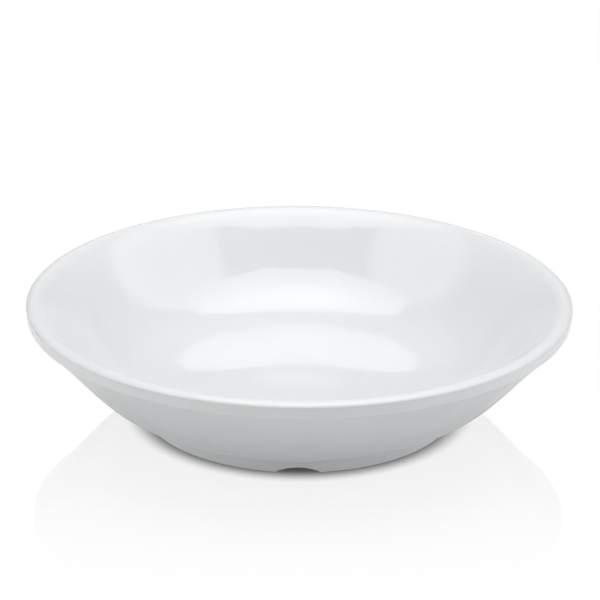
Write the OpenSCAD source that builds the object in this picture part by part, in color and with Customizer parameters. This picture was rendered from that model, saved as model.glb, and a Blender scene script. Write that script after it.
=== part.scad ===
// Deep plate: a white plate pressed in one shot, with a thin hard layer pressed over its eating side.
// The origin is on the table under the middle of the plate, and +Z is the plate's axis.

/* [Plate] */
// Diameter across the outermost edge of the lip
plate_d = 200; // [170:1:240]
// Height from the table to the top of the lip
plate_h = 45; // [38:1:52]

/* [Wall] */
// Thickness of the wall where it leaves the foot ring
wall_t = 4.2; // [3.6:0.1:4.8]
// Slope of the wall where it leaves the foot ring, in degrees
foot_slope = 12; // [9:0.5:16]
// Slope of the outer side of the wall where it meets the lip, in degrees
rim_slope = 43.5; // [40:0.5:47]
// Slope of the inner side of the wall where it meets the lip, in degrees
well_slope = 46.5; // [42:0.5:49]
// Share of the wall's chord over which both sides hold their slope at the foot
foot_hold = 0.36; // [0.3:0.01:0.42]
// Share of the wall's chord over which the outer side holds its slope at the lip
rim_hold = 0.46; // [0.4:0.01:0.5]
// Share of the wall's chord over which the inner side holds its slope at the lip
well_hold = 0.34; // [0.32:0.01:0.42]

/* [Lip] */
// Radius of the lip's round top
lip_round = 3.5; // [3:0.1:4]
// Radius of the lip's outer edge
lip_edge = 1.1; // [0.9:0.1:1.5]
// Angle above level at which the top's round passes into the edge's, in degrees
lip_turn = 45; // [35:1:55]
// Height of the outer band, from the parting line down to its lower edge
band_h = 3.6; // [2.8:0.1:4.2]
// How far the band leans in between the parting line and its lower edge
band_lean = 0.25; // [0.1:0.05:0.6]
// How far the band's lower edge stands out from the wall
band_step = 0.4; // [0.2:0.1:0.6]

/* [Floor] */
// Thickness of the floor at its middle
floor_t = 3.7; // [3.5:0.1:4.5]
// Diameter of the flat middle of the floor
flat_d = 25; // [16:1:40]

/* [Foot ring] */
// Outer diameter of the ring on the table
foot_d = 116; // [106:1:124]
// Height at which the wall leaves the ring
foot_h = 6; // [5.5:0.1:6.8]
// Width of the ring at the table
foot_w = 5.6; // [4.6:0.1:6.6]
// Draft of the ring's two sides, in degrees
foot_draft = 6; // [3:0.5:8]
// Radius of the ring's two lower edges
foot_round = 0.7; // [0.4:0.1:1]
// Radius of the inside corner between the ring and the wall
foot_fillet = 1; // [0.6:0.1:1.4]
// Radius of the inside corner between the ring and the underside of the floor
hollow_fillet = 0.8; // [0.4:0.1:1]

/* [Drain notches] */
// Number of notches through the foot ring
notch_count = 4; // [2:1:6]
// Width of a notch at the table
notch_w = 16; // [10:1:22]
// Height of a notch above the table
notch_h = 1.9; // [1.4:0.1:2.2]
// How far the hollow under the floor rises above the notches, so that water runs out
drain_rise = 0.2; // [0.1:0.05:0.4]

/* [Eating side layer] */
// Thickness of the layer
glaze_t = 0.4; // [0.3:0.05:0.6]

/* [Hidden] */

// Steps along a long curve and around a round
curve_steps = 18;
round_steps = 8;
lip_steps = 12;
edge_steps = 6;
$fn = 96;

// Heights and radii that follow from the sizes above
plate_r = plate_d / 2;
foot_r = foot_d / 2;
flat_r = flat_d / 2;
parting_z = plate_h - lip_round + (lip_round - lip_edge) * sin(lip_turn);
band_low_z = parting_z - band_h;
hollow_z = notch_h + drain_rise;
floor_z = hollow_z + floor_t;
ring_in_r = foot_r - foot_w;

// Point a share of the way from one point to another
function between(a, b, share) = a + (b - a) * share;

// Unit direction at an angle, in degrees from the radius
function heading(angle) = [cos(angle), sin(angle)];

// Points along a circle from one angle to another
function arc(centre, radius, from, to, steps) =
    [for (i = [0:steps]) centre + radius * heading(from + (to - from) * i / steps)];

// Control points of a curve from the foot to the lip that holds its slope at both ends
function wall_curve(low, high, high_slope, high_hold) = [
    low,
    low + foot_hold * norm(high - low) * heading(foot_slope),
    high - high_hold * norm(high - low) * heading(high_slope),
    high
];

// Point on a cubic curve, and the unit direction to the left of its run
function on_curve(p, t) =
    pow(1 - t, 3) * p[0] + 3 * t * pow(1 - t, 2) * p[1] + 3 * t * t * (1 - t) * p[2] + t * t * t * p[3];
function run_of(p, t) =
    pow(1 - t, 2) * (p[1] - p[0]) + 2 * t * (1 - t) * (p[2] - p[1]) + t * t * (p[3] - p[2]);
function left_of(run) = [-run[1], run[0]] / norm(run);

// Points along a cubic curve, moved to the right of its run by an inset
function curve(p, inset) = [
    for (i = [1:curve_steps])
        let (t = i / curve_steps)
            on_curve(p, t) - inset * left_of(run_of(p, t))
];

// The corner where the drafted ring would meet the wall, and the fillet that rounds it
foot_corner = [foot_r + foot_h * tan(foot_draft), foot_h];
fillet_turn = 90 - foot_draft - foot_slope;
fillet_run = foot_fillet * tan(fillet_turn / 2);
wall_start = foot_corner + fillet_run * heading(foot_slope);
fillet_centre = wall_start + foot_fillet * heading(foot_slope - 90);

// The outer wall ends under the band
band_centre = [plate_r - band_lean - band_step, band_low_z + band_step];
wall_out = wall_curve(wall_start, [band_centre[0], band_low_z], rim_slope, rim_hold);

// The lip's top round passes into its edge without a corner
edge_centre = [plate_r - lip_edge, parting_z];
lip_centre = edge_centre - (lip_round - lip_edge) * heading(lip_turn);

// The inner wall runs from over the foot ring to the lip's round
well_edge = foot_corner + wall_t * heading(foot_slope + 90);
lip_start = lip_centre + lip_round * heading(well_slope + 90);
wall_in = wall_curve(well_edge, lip_start, well_slope, well_hold);

// The floor is flat in the middle and rises along a parabola to the inner wall
flat_edge = [flat_r, floor_z];
well_turn = [well_edge[0] - (well_edge[1] - floor_z) / tan(foot_slope), floor_z];
well = [flat_edge, between(flat_edge, well_turn, 2 / 3), between(well_edge, well_turn, 2 / 3), well_edge];

// Points of a list without the first
function rest(points) = [for (i = [1:len(points) - 1]) points[i]];

// Eating side from the axis out to the parting line, sunk into the plate by an inset
function eating_side(inset) = concat(
    [[0, floor_z - inset], [flat_r, floor_z - inset]],
    curve(well, inset),
    curve(wall_in, inset),
    arc(lip_centre, lip_round - inset, well_slope + 90, lip_turn, lip_steps),
    rest(arc(edge_centre, lip_edge - inset, lip_turn, 0, edge_steps))
);

// Points of a list in the opposite order
function reversed(points) = [for (i = [len(points) - 1:-1:0]) points[i]];

// Outer side from the parting line down to the table
ring_out_c = [foot_r + foot_round * tan(foot_draft) - foot_round / cos(foot_draft), foot_round];
outer_side = concat(
    [[plate_r, parting_z]],
    arc(band_centre, band_step, 0, -90, round_steps),
    reversed(concat([wall_start], curve(wall_out, 0))),
    arc(fillet_centre, foot_fillet, foot_slope + 90, 180 - foot_draft, round_steps),
    arc(ring_out_c, foot_round, -foot_draft, -90, round_steps)
);

// Underside from the table to the axis
ring_in_c = [ring_in_r - foot_round * tan(foot_draft) + foot_round / cos(foot_draft), foot_round];
hollow_r = ring_in_r - hollow_z * tan(foot_draft) - hollow_fillet * tan(45 - foot_draft / 2);
underside = concat(
    arc(ring_in_c, foot_round, -90, foot_draft - 180, round_steps),
    arc([hollow_r, hollow_z - hollow_fillet], hollow_fillet, foot_draft, 90, round_steps),
    [[0, hollow_z]]
);

// A notch is the top of a lying cylinder that reaches through the ring
notch_r = (notch_w * notch_w / 4 + notch_h * notch_h) / (2 * notch_h);
notch_reach = foot_w + foot_h;

module drain_notch() {
    translate([0, foot_w / 2 - foot_r, notch_h - notch_r])
        rotate([90, 0, 0])
            cylinder(h = notch_reach, r = notch_r, center = true);
}

// The pressed plate: floor, wall, lip and notched foot ring in one solid
module moulded_body() {
    color([0.93, 0.94, 0.94])
        difference() {
            rotate_extrude()
                polygon(concat(eating_side(glaze_t), outer_side, underside));
            for (i = [0:notch_count - 1])
                rotate([0, 0, 360 * i / notch_count])
                    drain_notch();
        }
}

// The thin layer over the floor, the inner wall and the round of the lip
module glaze_layer() {
    color([0.97, 0.98, 0.98])
        rotate_extrude()
            polygon(concat(eating_side(0), reversed(eating_side(glaze_t))));
}

moulded_body();
glaze_layer();
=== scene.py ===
"""Looks of a white deep plate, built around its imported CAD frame.

The pressed body and the hard layer over its eating side are surfaces of revolution worked out with
numpy from the same sizes as the solids. The set is a pale glossy table under studio softboxes.
"""

import logging
import math
from dataclasses import dataclass, field
from enum import Enum

import bpy
import numpy as np
from mathutils import Matrix, Vector

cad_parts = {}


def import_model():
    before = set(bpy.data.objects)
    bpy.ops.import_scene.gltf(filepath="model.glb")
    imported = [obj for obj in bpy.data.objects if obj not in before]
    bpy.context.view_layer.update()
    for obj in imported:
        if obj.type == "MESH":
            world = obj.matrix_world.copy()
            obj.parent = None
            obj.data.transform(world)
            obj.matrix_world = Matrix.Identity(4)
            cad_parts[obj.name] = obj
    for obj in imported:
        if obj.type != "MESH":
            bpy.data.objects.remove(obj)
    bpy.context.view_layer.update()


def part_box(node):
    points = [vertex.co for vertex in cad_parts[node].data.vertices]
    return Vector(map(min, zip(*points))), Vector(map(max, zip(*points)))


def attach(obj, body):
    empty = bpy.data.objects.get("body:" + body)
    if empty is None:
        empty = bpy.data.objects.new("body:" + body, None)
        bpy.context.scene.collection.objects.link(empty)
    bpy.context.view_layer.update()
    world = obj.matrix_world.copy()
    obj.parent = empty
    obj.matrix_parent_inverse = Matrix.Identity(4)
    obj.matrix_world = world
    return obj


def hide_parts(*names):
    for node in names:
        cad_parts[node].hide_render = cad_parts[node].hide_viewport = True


LOG = logging.getLogger("deep_plate")
MM = 0.001
IMAGE_SIDE = 600
SENSOR_WIDTH = 36.0
SHARP_ANGLE = 32.0
SAME_PLACE = 1e-7
WHITE = (1.0, 1.0, 1.0, 1.0)

Curve = np.ndarray
Nodes = bpy.types.NodeTree
Socket = bpy.types.NodeSocket


class Outline(Enum):
    """Outline of a softbox's front: the corners of its right half, in shares of the half sizes."""

    PANEL = ((1.0, -1.0), (1.0, 1.0))
    OCTAGON = ((0.35, -1.0), (0.87, -0.43), (1.0, 0.38), (0.63, 1.0))
    ROUND = tuple(
        (math.cos(math.radians(step)), max(math.sin(math.radians(step)), -0.85))
        for step in range(-86, 90, 4)
    )

    def corners(self) -> Curve:
        """All corners in turn: the right half upwards, then its mirror image downwards."""
        right = np.array(self.value)
        return np.concatenate([right, right[::-1] * [-1.0, 1.0]])


@dataclass(frozen=True)
class PressedFinish:
    """Finish of pressed white melamine.

    Attributes:
        name: Name of the material.
        colour: Linear base colour.
        shade: Linear colour of the faint clouds in the base colour.
        band_painted_light: Linear colour painted on the outer band, lighter than the wall: painted
            light for the light that the upright band catches.
        gloss: Roughness where the mould is polished.
        gloss_spread: How much the roughness wanders over the surface.
        ior: Index of refraction of the resin.
        wave_depth: Depth of the long, shallow waves left by the press.
        grain_depth: Depth of the fine skin left by the mould.
        foot_gloss: Roughness of the face that rubs on the table.
        end_gloss: Roughness of the upper wall at both ends of the X axis, where the polish is softer.
        lip_gloss: Roughness of the lip, which is buffed after trimming.
    """

    name: str
    colour: tuple[float, float, float]
    shade: tuple[float, float, float]
    band_painted_light: tuple[float, float, float]
    gloss: float
    gloss_spread: float
    ior: float
    wave_depth: float
    grain_depth: float
    foot_gloss: float
    end_gloss: float
    lip_gloss: float


BODY_FINISH = PressedFinish(
    name="pressed_white_satin",
    colour=(0.755, 0.765, 0.775),
    shade=(0.74, 0.751, 0.762),
    # The band's lighter colour is painted light for the light that the upright band catches.
    band_painted_light=(0.82, 0.83, 0.84),
    gloss=0.16,
    gloss_spread=0.05,
    ior=1.75,
    wave_depth=0.03 * MM,
    grain_depth=0.004 * MM,
    foot_gloss=0.55,
    end_gloss=0.2,
    lip_gloss=0.26,
)
GLAZE_FINISH = PressedFinish(
    name="pressed_white_gloss",
    colour=(0.785, 0.796, 0.806),
    shade=(0.775, 0.786, 0.797),
    band_painted_light=(0.785, 0.796, 0.806),
    gloss=0.03,
    gloss_spread=0.015,
    ior=1.75,
    wave_depth=0.02 * MM,
    grain_depth=0.0004 * MM,
    foot_gloss=0.05,
    end_gloss=0.22,
    lip_gloss=0.26,
)


@dataclass(frozen=True)
class FinishZones:
    """Where the finish changes over the plate, each as the start and the end of the change.

    Attributes:
        band: Heights across the lower edge of the outer band, above which the colour is painted
            lighter as painted light.
        lip: Heights over which the wall's polish passes into the lip's.
        side: Distances from the middle along X over which the polish gets softer.
        upper: Heights over which that softer polish sets in.
        rubbed: Heights over which the rubbed foot face fades out.
        clouds: Noise levels between which a cloud comes in.
        polish: Noise levels between which the gloss wanders.
    """

    band: tuple[float, float] = (39.5 * MM, 39.7 * MM)
    lip: tuple[float, float] = (43.0 * MM, 44.2 * MM)
    side: tuple[float, float] = (66.0 * MM, 84.0 * MM)
    upper: tuple[float, float] = (20.0 * MM, 30.0 * MM)
    rubbed: tuple[float, float] = (0.1 * MM, 0.6 * MM)
    clouds: tuple[float, float] = (0.35, 0.7)
    polish: tuple[float, float] = (0.3, 0.7)


class SkinNoise(Enum):
    """Noises in the finish, each as its scale per metre and its detail."""

    CLOUDS = (55.0, 3.0)
    POLISH = (30.0, 4.0)
    WAVES = (16.0, 1.0)
    GRAIN = (1400.0, 2.0)


class NodeSheet:
    """Small helper that lays shader nodes and links them."""

    def __init__(self, tree: Nodes) -> None:
        """Starts on a tree and clears it.

        Args:
            tree: Node tree of a material or of the world.
        """
        self.tree = tree
        tree.nodes.clear()

    def add(
        self, kind: str, inputs: dict[str, object] | None = None, **settings: object
    ) -> bpy.types.Node:
        """Adds a node, sets it up and links or fills its inputs.

        Args:
            kind: Blender's name of the node type.
            inputs: Values or output sockets by input name or number.
            **settings: Properties of the node itself.

        Returns:
            The new node.
        """
        node = self.tree.nodes.new(kind)
        for name, value in settings.items():
            setattr(node, name, value)
        for name, value in (inputs or {}).items():
            if isinstance(value, Socket):
                self.tree.links.new(value, node.inputs[name])
            else:
                node.inputs[name].default_value = value
        return node

    def math(self, operation: str, *values: object) -> Socket:
        """Adds a Math node and returns its result.

        Args:
            operation: Name of the operation.
            *values: Numbers or sockets, in order.

        Returns:
            The result socket.
        """
        node = self.add("ShaderNodeMath", dict(enumerate(values)), operation=operation)
        return node.outputs[0]

    def ramp(
        self,
        value: Socket,
        low: float,
        high: float,
        start: float,
        end: float,
        straight: bool = False,
    ) -> Socket:
        """Carries a value from one range into another, with flat ends.

        Args:
            value: Socket to read.
            low: Input at the start of the ramp.
            high: Input at the end of the ramp.
            start: Output at low.
            end: Output at high.
            straight: Whether the ramp is a straight line instead of an eased one.

        Returns:
            The new value.
        """
        node = self.add(
            "ShaderNodeMapRange",
            {"Value": value, "From Min": low, "From Max": high, "To Min": start, "To Max": end},
            interpolation_type="LINEAR" if straight else "SMOOTHSTEP",
        )
        return node.outputs["Result"]

    def mix(self, share: Socket, first: object, second: object) -> Socket:
        """Blends two numbers.

        Args:
            share: Share of the second number.
            first: Number or socket at a share of 0.
            second: Number or socket at a share of 1.

        Returns:
            The blend.
        """
        ends = {"Factor": share, "A": first, "B": second}
        return self.add("ShaderNodeMix", ends, data_type="FLOAT").outputs["Result"]

    def noise(self, place: Socket, noise: SkinNoise) -> Socket:
        """Adds a noise over the surface.

        Args:
            place: Coordinates to read.
            noise: Scale and detail.

        Returns:
            The noise level.
        """
        scale, detail = noise.value
        inputs = {"Vector": place, "Scale": scale, "Detail": detail}
        return self.add("ShaderNodeTexNoise", inputs).outputs["Fac"]


def pressed_material(
    finish: PressedFinish, zones: FinishZones = FinishZones()
) -> bpy.types.Material:
    """Makes pressed melamine: faint clouds, wandering gloss, press waves and a fine mould skin.

    Args:
        finish: Colours, gloss and depths.
        zones: Where the finish changes over the plate.

    Returns:
        The material, which reads Object coordinates only.
    """
    material = bpy.data.materials.new(finish.name)
    material.use_nodes = True
    sheet = NodeSheet(material.node_tree)
    place = sheet.add("ShaderNodeTexCoord").outputs["Object"]
    axes = sheet.add("ShaderNodeSeparateXYZ", {0: place}).outputs
    height = axes["Z"]

    cloud_share = sheet.ramp(sheet.noise(place, SkinNoise.CLOUDS), *zones.clouds, 0.0, 1.0)
    colour = sheet.add(
        "ShaderNodeMix",
        {"Factor": cloud_share, "A": (*finish.colour, 1.0), "B": (*finish.shade, 1.0)},
        data_type="RGBA",
    )

    # Painted light: above this height the colour turns to the band colour, which on the body is
    # painted lighter for the light the upright band catches.
    painted_light_band = sheet.ramp(height, *zones.band, 0.0, 1.0)
    paint = sheet.add(
        "ShaderNodeMix",
        {"Factor": painted_light_band, "A": colour.outputs["Result"], "B": (*finish.band_painted_light, 1.0)},
        data_type="RGBA",
    )

    polish = sheet.noise(place, SkinNoise.POLISH)
    dullest = finish.gloss + finish.gloss_spread
    gloss = sheet.ramp(polish, *zones.polish, finish.gloss, dullest)
    aside = sheet.ramp(sheet.math("ABSOLUTE", axes["X"]), *zones.side, 0.0, 1.0)
    at_end = sheet.math("MULTIPLY", aside, sheet.ramp(height, *zones.upper, 0.0, 1.0))
    rubbed = sheet.ramp(height, *zones.rubbed, 1.0, 0.0)
    on_lip = sheet.ramp(height, *zones.lip, 0.0, 1.0)
    upper = sheet.mix(on_lip, sheet.mix(at_end, gloss, finish.end_gloss), finish.lip_gloss)
    roughness = sheet.mix(rubbed, upper, finish.foot_gloss)

    waves = sheet.noise(place, SkinNoise.WAVES)
    long_wave = sheet.add(
        "ShaderNodeBump", {"Strength": 1.0, "Distance": finish.wave_depth, "Height": waves}
    )
    fine_skin = sheet.add(
        "ShaderNodeBump",
        {
            "Strength": 1.0,
            "Distance": finish.grain_depth,
            "Height": sheet.noise(place, SkinNoise.GRAIN),
            "Normal": long_wave.outputs["Normal"],
        },
    )

    shader = sheet.add(
        "ShaderNodeBsdfPrincipled",
        {
            "Base Color": paint.outputs["Result"],
            "Roughness": roughness,
            "IOR": finish.ior,
            "Normal": fine_skin.outputs["Normal"],
        },
    )
    sheet.add("ShaderNodeOutputMaterial", {"Surface": shader.outputs[0]})
    return material


def heading(angle: float | Curve) -> Curve:
    """Unit direction in the radius and height plane at an angle in degrees from the radius."""
    turn = np.radians(angle)
    return np.stack([np.cos(turn), np.sin(turn)], axis=-1)


def arc(centre: Curve, radius: float, start: float, end: float, steps: int) -> Curve:
    """Points of a circle from one angle to another, in degrees, ends included.

    Args:
        centre: Centre in radius and height.
        radius: Radius of the circle.
        start: First angle.
        end: Last angle.
        steps: Number of stretches.

    Returns:
        An array of points, one a row.
    """
    return centre + radius * heading(np.linspace(start, end, steps + 1))


def cubic(points: Curve, steps: int, inset: float = 0.0) -> Curve:
    """Points of a cubic Bezier curve, moved to the right of its run by an inset.

    The point at t is the sum of the four controls weighted by the cubic Bernstein polynomials. The
    run at t is the same sum, one degree lower, of the differences between neighbouring controls.

    Args:
        points: Four control points in radius and height.
        steps: Number of stretches.
        inset: Distance to the right of the run.

    Returns:
        An array of points, one a row.
    """
    t = np.linspace(0.0, 1.0, steps + 1)[:, None]
    s = 1.0 - t
    weights = np.concatenate([s**3, 3 * t * s**2, 3 * t**2 * s, t**3], axis=1)
    legs = np.diff(points, axis=0)
    run = s**2 * legs[0] + 2 * t * s * legs[1] + t**2 * legs[2]
    right = np.stack([run[:, 1], -run[:, 0]], axis=1) / np.linalg.norm(run, axis=1, keepdims=True)
    return weights @ points + inset * right


def without_repeats(points: Curve) -> Curve:
    """Drops points that lie on the point before them."""
    gaps = np.linalg.norm(np.diff(points, axis=0), axis=1)
    return points[np.concatenate([[True], gaps > SAME_PLACE])]


def eased(line: Curve, middle: Curve, reach: float, spread: float) -> Curve:
    """Softens a line round one place, so that its curvature changes there little by little.

    Each point moves towards the mean of its neighbours, which count by a bell curve of their
    distance along the line. The share of the move falls smoothly from 1 at the middle to 0 at the
    reach.

    Args:
        line: Points in radius and height.
        middle: Place to soften.
        reach: Distance along the line over which it is softened, to each side.
        spread: Width of the bell curve.

    Returns:
        The softened line.
    """
    along = np.concatenate([[0.0], np.cumsum(np.linalg.norm(np.diff(line, axis=0), axis=1))])
    weights = np.exp(-0.5 * ((along[:, None] - along) / spread) ** 2) * np.gradient(along)
    mean = weights @ line / weights.sum(axis=1, keepdims=True)
    place = along[np.argmin(np.linalg.norm(line - middle, axis=1))]
    near = np.clip(1.0 - np.abs(along - place) / reach, 0.0, 1.0)
    share = near**2 * (3.0 - 2.0 * near)
    return line + (mean - line) * share[:, None]


def closed_revolution(
    name: str, grid: Curve, floor_pole: float, end_pole: float
) -> bpy.types.Object:
    """Makes a closed mesh from rings of points between two poles on the Z axis.

    Ring i holds the points grid[i, j] for the angles j. Neighbouring rings are joined by quads, the
    last angle is joined to the first, and the first and last rings are closed by fans to the poles.

    Args:
        name: Name of the object.
        grid: Array of rings by angles by XYZ.
        floor_pole: Height of the pole inside the first ring.
        end_pole: Height of the pole inside the last ring.

    Returns:
        The object, at the origin, with its place in its mesh.
    """
    rings, turns = grid.shape[:2]
    poles = np.array([[0.0, 0.0, floor_pole], [0.0, 0.0, end_pole]])
    corners = np.concatenate([grid.reshape(-1, 3), poles])
    index = np.arange(rings * turns).reshape(rings, turns)
    ahead = np.roll(index, -1, axis=1)
    quads = np.stack([index[:-1], index[1:], ahead[1:], ahead[:-1]], axis=-1).reshape(-1, 4)
    first_pole = np.full(turns, rings * turns)
    first_fan = np.stack([first_pole, index[0], ahead[0]], axis=-1)
    last_fan = np.stack([first_pole + 1, ahead[-1], index[-1]], axis=-1)

    mesh = bpy.data.meshes.new(name)
    loops = np.concatenate([quads.ravel(), first_fan.ravel(), last_fan.ravel()])
    totals = np.concatenate([np.full(len(quads), 4), np.full(2 * turns, 3)])
    starts = np.concatenate([[0], np.cumsum(totals)[:-1]])
    mesh.vertices.add(len(corners))
    mesh.vertices.foreach_set("co", corners.ravel())
    mesh.loops.add(len(loops))
    mesh.loops.foreach_set("vertex_index", loops)
    mesh.polygons.add(len(totals))
    mesh.polygons.foreach_set("loop_start", starts)
    mesh.polygons.foreach_set("loop_total", totals)
    mesh.polygons.foreach_set("use_smooth", np.ones(len(totals), dtype=bool))
    mesh.update(calc_edges=True)
    mesh.validate()
    mesh.set_sharp_from_angle(angle=math.radians(SHARP_ANGLE))
    piece = bpy.data.objects.new(name, mesh)
    bpy.context.scene.collection.objects.link(piece)
    return piece


@dataclass(frozen=True)
class PlateSizes:
    """Sizes of the plate in metres and degrees, with the outside taken from the CAD frame.

    Attributes:
        plate_r: Radius of the lip's outermost edge.
        plate_h: Height of the top of the lip.
        wall_t: Thickness of the wall where it leaves the foot ring.
        foot_slope: Slope of the wall where it leaves the foot ring.
        rim_slope: Slope of the outer side of the wall where it meets the lip.
        well_slope: Slope of the inner side of the wall where it meets the lip.
        foot_hold: Share of the wall's chord over which both sides hold their slope at the foot.
        rim_hold: Share of the chord over which the outer side holds its slope at the lip.
        well_hold: Share of the chord over which the inner side holds its slope at the lip.
        lip_round: Radius of the lip's round top.
        lip_edge: Radius of the lip's outer edge.
        lip_turn: Angle above level at which the top's round passes into the edge's.
        band_h: Height of the outer band, from the parting line down.
        band_lean: How far the band leans in.
        band_step: How far the band's lower edge stands out from the wall.
        floor_t: Thickness of the floor at its middle.
        flat_r: Radius of the flat middle of the floor.
        foot_r: Outer radius of the foot ring on the table.
        foot_h: Height at which the wall leaves the ring.
        foot_w: Width of the ring at the table.
        foot_draft: Draft of the ring's two sides.
        foot_round: Radius of the ring's two lower edges.
        foot_fillet: Radius of the inside corner between the ring and the wall.
        hollow_fillet: Radius of the inside corner between the ring and the underside.
        notch_count: Number of notches through the ring.
        notch_w: Width of a notch at the table.
        notch_h: Height of a notch above the table.
        drain_rise: How far the hollow rises above the notches.
        glaze_t: Thickness of the layer on the eating side.
        flat_steps: Number of rings over the flat middle of the floor.
        well_steps: Number of stretches along the rise of the floor.
    """

    plate_r: float
    plate_h: float
    wall_t: float = 4.2 * MM
    foot_slope: float = 12.0
    rim_slope: float = 43.5
    well_slope: float = 46.5
    foot_hold: float = 0.36
    rim_hold: float = 0.46
    well_hold: float = 0.34
    lip_round: float = 3.5 * MM
    lip_edge: float = 1.1 * MM
    lip_turn: float = 45.0
    band_h: float = 3.6 * MM
    band_lean: float = 0.25 * MM
    band_step: float = 0.4 * MM
    floor_t: float = 3.7 * MM
    flat_r: float = 12.5 * MM
    foot_r: float = 58.0 * MM
    foot_h: float = 6.0 * MM
    foot_w: float = 5.6 * MM
    foot_draft: float = 6.0
    foot_round: float = 0.7 * MM
    foot_fillet: float = 1.0 * MM
    hollow_fillet: float = 0.8 * MM
    notch_count: int = 4
    notch_w: float = 16.0 * MM
    notch_h: float = 1.9 * MM
    drain_rise: float = 0.2 * MM
    glaze_t: float = 0.4 * MM
    flat_steps: int = 5
    well_steps: int = 24

    @classmethod
    def from_frame(cls) -> "PlateSizes":
        """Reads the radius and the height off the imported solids."""
        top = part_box("glaze_layer")[1]
        return cls(plate_r=top.x, plate_h=top.z)

    @property
    def parting_z(self) -> float:
        """Height of the parting line on the lip's outermost edge."""
        rise = math.sin(math.radians(self.lip_turn))
        return self.plate_h - self.lip_round + (self.lip_round - self.lip_edge) * rise

    @property
    def hollow_z(self) -> float:
        """Height of the hollow under the floor."""
        return self.notch_h + self.drain_rise

    @property
    def floor_z(self) -> float:
        """Height of the middle of the eating side."""
        return self.hollow_z + self.floor_t

    @property
    def foot_corner(self) -> Curve:
        """Point where the drafted ring would meet the wall."""
        lean = math.tan(math.radians(self.foot_draft))
        return np.array([self.foot_r + self.foot_h * lean, self.foot_h])

    @property
    def edge_centre(self) -> Curve:
        """Centre of the small circle at the lip's outer edge."""
        return np.array([self.plate_r - self.lip_edge, self.parting_z])

    @property
    def lip_centre(self) -> Curve:
        """Centre of the circle over the top of the lip."""
        return self.edge_centre - (self.lip_round - self.lip_edge) * heading(self.lip_turn)

    @property
    def lip_start(self) -> Curve:
        """Point where the inner wall passes into the lip."""
        return self.lip_centre + self.lip_round * heading(self.well_slope + 90.0)

    def wall_controls(self, low: Curve, high: Curve, high_slope: float, high_hold: float) -> Curve:
        """Controls of a wall side that holds its slope at the foot and at the lip.

        Args:
            low: Lower end in radius and height.
            high: Upper end.
            high_slope: Slope at the upper end, in degrees.
            high_hold: Share of the chord over which the upper slope is held.

        Returns:
            Four control points.
        """
        chord = np.linalg.norm(high - low)
        return np.stack(
            [
                low,
                low + self.foot_hold * chord * heading(self.foot_slope),
                high - high_hold * chord * heading(high_slope),
                high,
            ]
        )

    def eating_side(self, inset: float, steps: tuple[int, int, int] = (36, 16, 10)) -> Curve:
        """Eating side from the axis out to the parting line, sunk into the plate.

        The floor is flat, then a parabola, then the inner wall's cubic, then the lip's top circle,
        which passes into the smaller circle of its edge.

        Args:
            inset: How deep the line lies under the surface.
            steps: Number of stretches along the inner wall, the lip's top and its edge.

        Returns:
            Points in radius and height, without the one on the axis.
        """
        well_edge = self.foot_corner + self.wall_t * heading(self.foot_slope + 90.0)
        flat_edge = np.array([self.flat_r, self.floor_z])
        rise = well_edge[1] - self.floor_z
        turn_r = well_edge[0] - rise / math.tan(math.radians(self.foot_slope))
        turn = np.array([turn_r, self.floor_z])
        flat_hold = flat_edge + (turn - flat_edge) * 2 / 3
        well_hold = well_edge + (turn - well_edge) * 2 / 3
        well = np.stack([flat_edge, flat_hold, well_hold, well_edge])
        wall = self.wall_controls(well_edge, self.lip_start, self.well_slope, self.well_hold)
        radii = np.linspace(0.0, self.flat_r, self.flat_steps + 1)[1:]
        flat = np.stack([radii, np.full(self.flat_steps, self.floor_z - inset)], axis=1)
        lip_from = self.well_slope + 90.0
        lip = arc(self.lip_centre, self.lip_round - inset, lip_from, self.lip_turn, steps[1])
        edge = arc(self.edge_centre, self.lip_edge - inset, self.lip_turn, 0.0, steps[2])
        rise_line = cubic(well, self.well_steps, inset)
        lines = [flat, rise_line, cubic(wall, steps[0], inset), lip, edge]
        return without_repeats(np.concatenate(lines))


def around(profile: Curve, turns: Curve) -> Curve:
    """Carries a profile round the Z axis.

    The point of row i at angle a is radius i times the cosine and the sine of a, at height i.

    Args:
        profile: Points in radius and height.
        turns: Angles in radians.

    Returns:
        An array of rings by angles by XYZ.
    """
    radius = profile[:, :1]
    height = np.broadcast_to(profile[:, 1:], (len(profile), len(turns)))
    return np.stack([radius * np.cos(turns), radius * np.sin(turns), height], axis=-1)


@dataclass
class GlazeLayer:
    """The hard layer pressed over the floor, the inner wall and the round of the lip.

    Attributes:
        sizes: Sizes of the plate.
        finish: Finish of the layer.
        steps_round: Number of columns round the axis.
        upper_steps: Number of stretches along the inner wall, the lip's top and its edge.
        ease_reach: Distance to each side over which the wall is eased into the lip.
        ease_spread: Width of the bell curve that eases it.
        piece: The built object.
    """

    sizes: PlateSizes
    finish: PressedFinish = GLAZE_FINISH
    steps_round: int = 300
    upper_steps: tuple[int, int, int] = (96, 44, 14)
    ease_reach: float = 2.8 * MM
    ease_spread: float = 1.1 * MM
    piece: bpy.types.Object | None = None

    def build(self) -> bpy.types.Object:
        """Makes the layer as the eating side and the same line sunk by the layer's thickness.

        Returns:
            The closed mesh object.
        """
        sizes = self.sizes
        plain = sizes.eating_side(0.0, self.upper_steps)
        upper = eased(plain, sizes.lip_start, self.ease_reach, self.ease_spread)
        lower = sizes.eating_side(sizes.glaze_t)[::-1]
        turns = np.linspace(0.0, 2.0 * np.pi, self.steps_round, endpoint=False)
        rings = around(np.concatenate([upper, lower]), turns)
        self.piece = closed_revolution(
            "eating_side_glaze", rings, sizes.floor_z, sizes.floor_z - sizes.glaze_t
        )
        return self.piece

    def dress(self) -> None:
        """Gives the layer its finish and its place in the frame."""
        self.piece.data.materials.append(pressed_material(self.finish))
        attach(self.piece, "root")
        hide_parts("glaze_layer")


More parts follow.
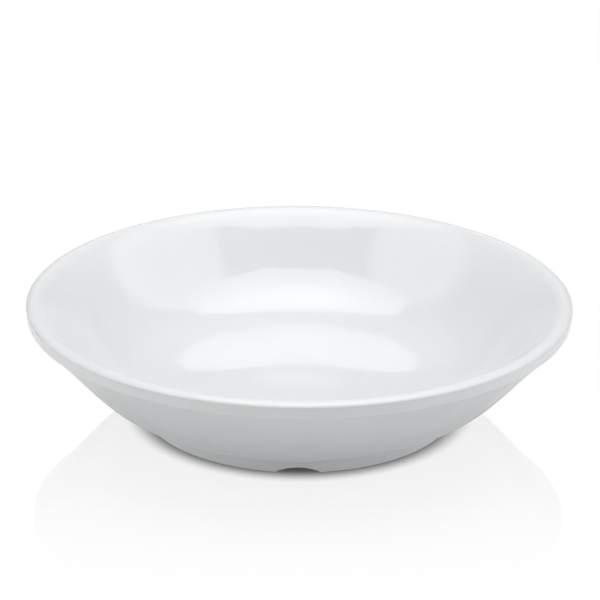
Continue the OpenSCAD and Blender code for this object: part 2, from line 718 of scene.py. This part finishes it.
@dataclass
class MouldedBody:
    """The pressed plate under the layer: floor, wall, lip band and foot ring with drain notches.

    Attributes:
        sizes: Sizes of the plate.
        finish: Finish of the body.
        steps_round: Number of even columns round the axis.
        notch_steps: Number of columns across a notch.
        notch_margin: Width of those columns as a multiple of the notch's.
        notch_clearance: Distance that the even columns keep, as a multiple of that width.
        wall_steps: Number of stretches along the outer wall.
        round_steps: Number of stretches along a rounded edge or corner of the foot ring.
        step_steps: Number of stretches along the band's lower edge.
        band_rings: Number of rings down the band.
        ring_rings: Number of rings down the outside of the foot ring.
        hollow_rings: Number of rings along the hollow, its two ends included.
        piece: The built object.
    """

    sizes: PlateSizes
    finish: PressedFinish = BODY_FINISH
    steps_round: int = 240
    notch_steps: int = 56
    notch_margin: float = 1.15
    notch_clearance: float = 1.02
    wall_steps: int = 40
    round_steps: int = 8
    step_steps: int = 6
    band_rings: int = 5
    ring_rings: int = 8
    hollow_rings: int = 12
    piece: bpy.types.Object | None = None

    def outer_side(self) -> Curve:
        """Outer side from the parting line down the band, the wall and the foot ring.

        The band is a straight line, its lower edge a quarter circle, the wall a cubic, the corner at
        the ring a circle, the ring's side a straight line and its lower edge a circle.

        Returns:
            Points in radius and height, down to the table.
        """
        s = self.sizes
        low_z = s.parting_z - s.band_h
        band_centre = np.array([s.plate_r - s.band_lean - s.band_step, low_z + s.band_step])
        turn = 90.0 - s.foot_draft - s.foot_slope
        fillet_run = s.foot_fillet * math.tan(math.radians(turn / 2))
        start = s.foot_corner + fillet_run * heading(s.foot_slope)
        fillet_centre = start + s.foot_fillet * heading(s.foot_slope - 90.0)
        wall_end = np.array([band_centre[0], low_z])
        controls = s.wall_controls(start, wall_end, s.rim_slope, s.rim_hold)
        wall = cubic(controls, self.wall_steps)[::-1]
        draft = math.radians(s.foot_draft)
        round_centre = np.array(
            [s.foot_r + s.foot_round * (math.tan(draft) - 1.0 / math.cos(draft)), s.foot_round]
        )
        band_end = band_centre + [s.band_step, 0.0]
        band = np.linspace([s.plate_r, s.parting_z], band_end, self.band_rings)
        fillet_ends = (s.foot_slope + 90.0, 180.0 - s.foot_draft)
        fillet = arc(fillet_centre, s.foot_fillet, *fillet_ends, self.round_steps)
        edge = arc(round_centre, s.foot_round, -s.foot_draft, -90.0, self.round_steps)
        ring = np.linspace(fillet[-1], edge[0], self.ring_rings)
        step = arc(band_centre, s.band_step, 0.0, -90.0, self.step_steps)
        return np.concatenate([band, step, wall, fillet, ring, edge])

    def underside(self) -> Curve:
        """Underside from the table up the inside of the ring and along the hollow.

        The ring's lower edge and the corner at the hollow are circles, and the hollow is level.

        Returns:
            Points in radius and height, without the one on the axis.
        """
        s = self.sizes
        draft = math.radians(s.foot_draft)
        ring_r = s.foot_r - s.foot_w
        round_centre = np.array(
            [ring_r - s.foot_round * (math.tan(draft) - 1.0 / math.cos(draft)), s.foot_round]
        )
        lean = s.hollow_z * math.tan(draft)
        fillet_run = s.hollow_fillet * math.tan(math.pi / 4 - draft / 2)
        fillet_centre = np.array([ring_r - lean - fillet_run, s.hollow_z - s.hollow_fillet])
        edge = arc(round_centre, s.foot_round, -90.0, s.foot_draft - 180.0, self.round_steps)
        fillet = arc(fillet_centre, s.hollow_fillet, s.foot_draft, 90.0, self.round_steps)
        radii = np.linspace(fillet[-1][0], 0.0, self.hollow_rings)[1:-1]
        hollow = np.stack([radii, np.full(len(radii), s.hollow_z)], axis=1)
        return np.concatenate([edge, fillet, hollow])

    def turns(self) -> Curve:
        """Angles of the columns: even all round, and closer together across each notch.

        Returns:
            Angles in radians, in rising order.
        """
        s = self.sizes
        even = np.linspace(0.0, 2.0 * np.pi, self.steps_round, endpoint=False)
        half = self.notch_margin * s.notch_w / 2 / (s.foot_r - s.foot_w)
        fine = np.linspace(-half, half, self.notch_steps)
        middles = self.notch_angles()[:, None]
        away = np.abs((even[:, None] - middles.T + np.pi) % (2.0 * np.pi) - np.pi).min(axis=1)
        kept = even[away > half * self.notch_clearance]
        columns = np.concatenate([kept, (middles + fine).ravel()])
        return np.sort(columns % (2.0 * np.pi))

    def notch_angles(self) -> Curve:
        """Angle of each notch's middle, the first at the front."""
        return -np.pi / 2 + 2.0 * np.pi * np.arange(self.sizes.notch_count) / self.sizes.notch_count

    def notched(self, rings: Curve) -> Curve:
        """Lifts the foot ring into its drain notches.

        Across a notch the table line rises along the top of a lying cylinder, and the ring above it
        is pressed together so that it still meets the wall outside and the hollow inside.

        Args:
            rings: Array of rings by angles by XYZ.

        Returns:
            The same array with new heights.
        """
        s = self.sizes
        radius = np.hypot(rings[..., 0], rings[..., 1])
        angle = np.arctan2(rings[..., 1], rings[..., 0])[..., None] - self.notch_angles()
        beside = np.abs((angle + np.pi) % (2.0 * np.pi) - np.pi)
        across = radius[..., None] * np.sin(np.minimum(beside, np.pi / 2))
        lying_r = (s.notch_w**2 / 4 + s.notch_h**2) / (2 * s.notch_h)
        crown = np.sqrt(np.maximum(lying_r**2 - across**2, 0.0)) - lying_r + s.notch_h
        lift = np.maximum(crown, 0.0).max(axis=-1)
        middle_r = s.foot_r - s.foot_w / 2
        ceiling = np.where(radius > middle_r, s.foot_h - s.foot_fillet, s.hollow_z)
        height = rings[..., 2]
        on_ring = (radius > s.foot_r - s.foot_w - s.hollow_z) & (height < ceiling)
        pressed = lift + height * (1.0 - lift / ceiling)
        lifted = np.where(on_ring, pressed, height)
        return np.concatenate([rings[..., :2], lifted[..., None]], axis=-1)

    def build(self) -> bpy.types.Object:
        """Makes the body as one closed surface of revolution with a notched foot ring.

        Returns:
            The closed mesh object.
        """
        s = self.sizes
        profile = np.concatenate([s.eating_side(s.glaze_t), self.outer_side(), self.underside()])
        rings = self.notched(around(without_repeats(profile), self.turns()))
        self.piece = closed_revolution("pressed_body", rings, s.floor_z - s.glaze_t, s.hollow_z)
        return self.piece

    def dress(self) -> None:
        """Gives the body its finish and its place in the frame."""
        self.piece.data.materials.append(pressed_material(self.finish))
        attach(self.piece, "root")
        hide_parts("moulded_body")


@dataclass(frozen=True)
class Softbox:
    """A flat, softly edged light that the camera does not see.

    Attributes:
        name: Name of the object.
        outline: Outline of its front.
        centre: Middle of its front, in metres.
        half_sizes: Half width and half height of its front.
        facing: Direction in which it shines.
        upright: Direction of its height.
        core: Radiance at the middle, where 1 is white.
        rim: Radiance just inside the edge.
        feather: Share of the front over which the edge fades out.
    """

    name: str
    outline: Outline
    centre: tuple[float, float, float]
    half_sizes: tuple[float, float]
    facing: tuple[float, float, float]
    upright: tuple[float, float, float]
    core: float
    rim: float
    feather: float

    def build(self) -> bpy.types.Object:
        """Makes the front as rings that shrink from the outline to the middle.

        Ring k is the outline scaled by k over the number of rings, and the attribute reach holds
        that share, so that the light can fall off from the middle to the edge.

        Returns:
            The staged mesh object.
        """
        shape = self.outline.corners()
        sides = len(shape)
        rings = 24
        shares = np.arange(1, rings + 1) / rings
        flat = (shares[:, None, None] * shape * self.half_sizes).reshape(-1, 2)
        up = Vector(self.upright).normalized()
        right = up.cross(Vector(self.facing)).normalized()
        axes = np.array([right, up])
        corners = np.concatenate([[self.centre], self.centre + flat @ axes])
        index = np.arange(rings * sides).reshape(rings, sides) + 1
        ahead = np.roll(index, -1, axis=1)
        quads = np.stack([index[:-1], index[1:], ahead[1:], ahead[:-1]], axis=-1).reshape(-1, 4)
        fan = np.stack([np.zeros(sides, dtype=int), index[0], ahead[0]], axis=-1)
        mesh = bpy.data.meshes.new(self.name)
        mesh.from_pydata(corners.tolist(), [], fan.tolist() + quads.tolist())
        reach = mesh.attributes.new("reach", "FLOAT", "POINT")
        reach.data.foreach_set("value", np.concatenate([[0.0], np.repeat(shares, sides)]))
        mesh.materials.append(self.glow())
        front = bpy.data.objects.new(self.name, mesh)
        bpy.context.scene.collection.objects.link(front)
        front.visible_camera = False
        front.visible_shadow = False
        return front

    def glow(self) -> bpy.types.Material:
        """Makes the light's emission, brightest in the middle and clear at the edge.

        Returns:
            The material.
        """
        material = bpy.data.materials.new(f"{self.name}_glow")
        material.use_nodes = True
        sheet = NodeSheet(material.node_tree)
        reach = sheet.add("ShaderNodeAttribute", attribute_name="reach").outputs["Fac"]
        level = sheet.ramp(reach, 0.0, 1.0, self.core, self.rim)
        edge = sheet.ramp(reach, 1.0 - self.feather, 1.0, 1.0, 0.0)
        light = sheet.add("ShaderNodeEmission", {"Strength": level})
        clear = sheet.add("ShaderNodeBsdfTransparent")
        parts = {0: edge, 1: clear.outputs[0], 2: light.outputs[0]}
        front = sheet.add("ShaderNodeMixShader", parts)
        sheet.add("ShaderNodeOutputMaterial", {"Surface": front.outputs[0]})
        return material


SOFTBOXES = (
    Softbox(
        name="overhead_octagon",
        outline=Outline.OCTAGON,
        centre=(0.012, -0.065, 1.0),
        half_sizes=(0.69, 0.438),
        facing=(0.0, 0.0, -1.0),
        upright=(0.0, 1.0, 0.0),
        core=3.3,
        rim=2.15,
        feather=0.015,
    ),
    Softbox(
        name="right_panel",
        outline=Outline.PANEL,
        centre=(1.0, -0.13, 1.05),
        half_sizes=(0.705, 0.75),
        facing=(-1.0, 0.0, 0.0),
        upright=(0.0, 0.0, 1.0),
        core=1.75,
        rim=1.75,
        feather=0.3,
    ),
    Softbox(
        name="left_panel",
        outline=Outline.PANEL,
        centre=(-1.0, -0.33, 1.15),
        half_sizes=(0.72, 0.85),
        facing=(1.0, 0.0, 0.0),
        upright=(0.0, 0.0, 1.0),
        core=1.65,
        rim=1.65,
        feather=0.4,
    ),
    Softbox(
        name="back_round",
        outline=Outline.ROUND,
        centre=(0.0, 2.0, 1.5),
        half_sizes=(0.208, 0.52),
        facing=(0.0, -1.0, 0.0),
        upright=(0.0, 0.0, 1.0),
        core=1.55,
        rim=1.3,
        feather=0.08,
    ),
)


@dataclass
class Studio:
    """The set: table, white surroundings, softboxes and the camera.

    Lengths are in metres, angles in degrees, and levels are radiances, where 1 is white. A ring is
    given by distances from the plate's axis, and a span of the surroundings by shares of a unit
    direction along one axis.

    Attributes:
        table_half: Half the side of the table.
        table_drop: How far the table lies under the foot ring.
        table_bounce: Share of the light that the table throws back at the plate.
        table_shade: Share of the light on the table that the camera sees.
        table_glow: White that the table shows to the camera by itself.
        painted_shadow_ring: Ring over which that white sets in outside the foot ring, which paints
            the contact shadow there.
        under_glow: White under the plate, which lights the foot ring.
        foot_glow: The same white just outside the foot ring.
        foot_ring: Rings over which it passes from one to the other and over which it ends.
        mirrored_glow: White of the table in the plate's gloss, close to the plate.
        mirrored_ring: Ring over which it ends.
        table_ior: Index of refraction of the table's polish.
        mirror_gain: How much stronger the table's mirror image is than plain polish gives.
        mirror_most: Upper limit of the mirror image's share.
        mirror_front: Distance to the front and the back over which the mirror image fades.
        mirror_side: Distances to the sides between which it fades.
        fill_sides: Fill from the two sides, low down.
        fill_ends: Fill from the front and the back, low down.
        fill_upper: Fill from higher up.
        fill_turn: Span along X over which the fill passes from the ends to the sides.
        fill_rise: Span along Z over which it passes from the low to the upper fill.
        fill_fade: Span along Z over which the upper fill ends.
        room_low: Level of the mirrored room at the horizon.
        room_high: Level of the mirrored room overhead.
        backdrop_white: Level of the mirrored backdrop behind the plate.
        backdrop_half: Span along X over which the backdrop ends.
        backdrop_front: Span along Y over which it begins.
        backdrop_top: Place along Z of its upper edge.
        backdrop_edge: Softness of that edge.
        camera_distance: Distance from the aim to the camera.
        camera_height_aim: Height of the point that the camera looks at.
        camera_side_aim: Place of that point along X.
        camera_elevation: Angle from which the camera looks down.
        camera_roll: Turn of the camera about its view.
        camera_focal_px: Focal length in pixels of the square image.
        softboxes: The lights.
    """

    table_half: float = 6.0
    table_drop: float = 0.05 * MM
    table_bounce: float = 0.8
    table_shade: float = 0.05
    table_glow: float = 0.97
    painted_shadow_ring: tuple[float, float] = (0.0553, 0.0664)
    under_glow: float = 0.26
    foot_glow: float = 0.28
    foot_ring: tuple[float, float, float, float] = (0.059, 0.063, 0.068, 0.076)
    mirrored_glow: float = 0.17
    mirrored_ring: tuple[float, float] = (0.1, 0.25)
    table_ior: float = 1.7
    mirror_gain: float = 1.7
    mirror_most: float = 0.33
    mirror_front: float = 0.185
    mirror_side: tuple[float, float] = (0.12, 0.2)
    fill_sides: float = 1.28
    fill_ends: float = 0.08
    fill_upper: float = 0.16
    fill_turn: tuple[float, float] = (0.5, 0.8)
    fill_rise: tuple[float, float] = (0.15, 0.35)
    fill_fade: tuple[float, float] = (0.6, 0.9)
    room_low: float = 0.32
    room_high: float = 1.08
    backdrop_white: float = 0.62
    backdrop_half: tuple[float, float] = (0.2, 0.4)
    backdrop_front: tuple[float, float] = (0.0, 0.2)
    backdrop_top: float = 0.476
    backdrop_edge: float = 0.006
    camera_distance: float = 0.9
    camera_height_aim: float = 42.6 * MM
    camera_side_aim: float = 0.22 * MM
    camera_elevation: float = 21.485
    camera_roll: float = 0.441
    camera_focal_px: float = 2447.6
    softboxes: tuple[Softbox, ...] = field(default=SOFTBOXES)

    def surroundings(self) -> None:
        """Sets up what lies around the set.

        The camera sees plain white, and so does the polished table. Matt surfaces get a soft fill
        that is strongest from the two sides. The plate's gloss mirrors a room that brightens upwards,
        with an even backdrop behind the plate.
        """
        world = bpy.data.worlds.new("studio")
        bpy.context.scene.world = world
        world.use_nodes = True
        sheet = NodeSheet(world.node_tree)
        there = sheet.add("ShaderNodeTexCoord").outputs["Generated"]
        axes = sheet.add("ShaderNodeSeparateXYZ", {0: there}).outputs
        aside = sheet.math("ABSOLUTE", axes["X"])
        low_fill = sheet.ramp(aside, *self.fill_turn, self.fill_ends, self.fill_sides)
        upper_fill = sheet.ramp(axes["Z"], *self.fill_fade, self.fill_upper, 0.0)
        above = sheet.ramp(axes["Z"], *self.fill_rise, 0.0, 1.0)
        fill = sheet.mix(above, low_fill, upper_fill)

        room = sheet.ramp(axes["Z"], 0.0, 1.0, self.room_low, self.room_high, straight=True)
        narrow = sheet.ramp(aside, *self.backdrop_half, 1.0, 0.0)
        behind = sheet.math("MULTIPLY", narrow, sheet.ramp(axes["Y"], *self.backdrop_front, 0.0, 1.0))
        edge_start = self.backdrop_top - self.backdrop_edge
        under_top = sheet.ramp(axes["Z"], edge_start, self.backdrop_top, 1.0, 0.0)
        seen = sheet.mix(sheet.math("MULTIPLY", behind, under_top), room, self.backdrop_white)

        path = sheet.add("ShaderNodeLightPath").outputs
        mirrored = sheet.math("MAXIMUM", path["Is Glossy Ray"], path["Is Transmission Ray"])
        plain = sheet.math("MAXIMUM", path["Is Camera Ray"], path["Is Singular Ray"])
        strength = sheet.mix(plain, sheet.mix(mirrored, fill, seen), 1.0)
        light = sheet.add("ShaderNodeBackground", {"Color": WHITE, "Strength": strength})
        sheet.add("ShaderNodeOutputWorld", {"Surface": light.outputs[0]})

    def table_material(self) -> bpy.types.Material:
        """White glossy sheet with a contact shadow and a mirror image that fades out.

        Light bounces off it as off white paper. To the camera most of its white is its own, so that
        it stays white all over, apart from a painted contact shadow where its own white fades out
        round the foot ring. The sheet also glows a little round the foot ring, a painted light that
        lights the foot ring.

        Returns:
            The material.
        """
        material = bpy.data.materials.new("white_table")
        material.use_nodes = True
        material.cycles.emission_sampling = "NONE"
        sheet = NodeSheet(material.node_tree)
        path = sheet.add("ShaderNodeLightPath").outputs
        camera = path["Is Camera Ray"]
        mirrored = sheet.math("MAXIMUM", path["Is Glossy Ray"], path["Is Transmission Ray"])
        place = sheet.add("ShaderNodeTexCoord").outputs["Object"]
        away = sheet.add("ShaderNodeVectorMath", {0: place}, operation="LENGTH").outputs["Value"]
        axes = sheet.add("ShaderNodeSeparateXYZ", {0: place}).outputs
        ahead = sheet.math("ABSOLUTE", axes["Y"])
        front = sheet.ramp(ahead, 0.0, self.mirror_front, 1.0, 0.0, straight=True)
        side = sheet.ramp(sheet.math("ABSOLUTE", axes["X"]), *self.mirror_side, 1.0, 0.0)

        albedo = sheet.mix(camera, self.table_bounce, self.table_shade)
        matt = sheet.add("ShaderNodeBsdfDiffuse", {"Color": albedo})
        # Painted shadow: the white that the camera sees fades out under and next to the foot ring,
        # which draws the contact shadow.
        glow_with_painted_shadow = sheet.ramp(away, *self.painted_shadow_ring, 0.0, self.table_glow)
        # Painted light: for matt rays the table glows under and just outside the foot ring, which
        # lights the foot ring.
        outside = sheet.ramp(away, *self.foot_ring[:2], self.under_glow, self.foot_glow)
        foot_end = sheet.ramp(away, *self.foot_ring[2:], 1.0, 0.0)
        foot_light_glow = sheet.math("MULTIPLY", outside, foot_end)
        around_it = sheet.ramp(away, *self.mirrored_ring, self.mirrored_glow, 0.0)
        own_white = sheet.mix(camera, sheet.mix(mirrored, foot_light_glow, around_it), glow_with_painted_shadow)
        glow = sheet.add("ShaderNodeEmission", {"Strength": own_white})
        paper = sheet.add("ShaderNodeAddShader", {0: matt.outputs[0], 1: glow.outputs[0]})

        facing = sheet.add("ShaderNodeFresnel", {"IOR": self.table_ior}).outputs[0]
        raised = sheet.math("MULTIPLY", facing, self.mirror_gain)
        share = sheet.math("MINIMUM", raised, self.mirror_most)
        near = sheet.math("MULTIPLY", share, sheet.math("MULTIPLY", front, side))
        mirror = sheet.add("ShaderNodeBsdfGlossy", {"Color": WHITE, "Roughness": 0.0})
        layers = {0: near, 1: paper.outputs[0], 2: mirror.outputs[0]}
        top = sheet.add("ShaderNodeMixShader", layers)
        below = sheet.add("ShaderNodeBsdfTransparent")
        back = sheet.add("ShaderNodeNewGeometry").outputs["Backfacing"]
        sides = {0: back, 1: top.outputs[0], 2: below.outputs[0]}
        sheet_top = sheet.add("ShaderNodeMixShader", sides)
        sheet.add("ShaderNodeOutputMaterial", {"Surface": sheet_top.outputs[0]})
        return material

    def table(self) -> bpy.types.Object:
        """Makes the table as one large square just under the foot ring.

        Returns:
            The staged mesh object.
        """
        side = np.array([-self.table_half, self.table_half])
        x, y = np.meshgrid(side, side)
        corners = np.stack([x.ravel(), y.ravel(), np.full(4, -self.table_drop)], axis=1)
        mesh = bpy.data.meshes.new("white_table")
        mesh.from_pydata(corners.tolist(), [], [(0, 1, 3, 2)])
        mesh.materials.append(self.table_material())
        sheet = bpy.data.objects.new("white_table", mesh)
        bpy.context.scene.collection.objects.link(sheet)
        return sheet

    def camera(self) -> bpy.types.Object:
        """Places the camera at the photo's angle, with its small roll.

        The lens follows from the focal length in pixels of the square image.

        Returns:
            The camera object.
        """
        rise = math.radians(self.camera_elevation)
        roll = math.radians(self.camera_roll)
        aim = Vector((self.camera_side_aim, 0.0, self.camera_height_aim))
        ahead = Vector((0.0, math.cos(rise), -math.sin(rise)))
        level = Vector((1.0, 0.0, 0.0))
        above = level.cross(ahead)
        right = level * math.cos(roll) + above * math.sin(roll)
        up = above * math.cos(roll) - level * math.sin(roll)
        data = bpy.data.cameras.new("camera")
        data.sensor_width = SENSOR_WIDTH
        data.lens = self.camera_focal_px / IMAGE_SIDE * SENSOR_WIDTH
        camera = bpy.data.objects.new("camera", data)
        turn = Matrix((right, up, -ahead)).transposed().to_4x4()
        camera.matrix_world = Matrix.Translation(aim - ahead * self.camera_distance) @ turn
        bpy.context.scene.collection.objects.link(camera)
        bpy.context.scene.camera = camera
        return camera

    def build(self) -> None:
        """Builds the whole set."""
        bpy.context.scene.view_settings.view_transform = "Standard"
        self.surroundings()
        self.table()
        self.camera()
        for softbox in self.softboxes:
            front = softbox.build()
            LOG.info("light %s", front.name)


def main() -> None:
    """Builds the set and the plate."""
    logging.basicConfig(level=logging.INFO, format="%(name)s: %(message)s")
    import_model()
    Studio().build()
    sizes = PlateSizes.from_frame()
    for part in (MouldedBody(sizes), GlazeLayer(sizes)):
        piece = part.build()
        part.dress()
        LOG.info("piece %s: %d faces", piece.name, len(piece.data.polygons))


if __name__ == "__main__":
    main()
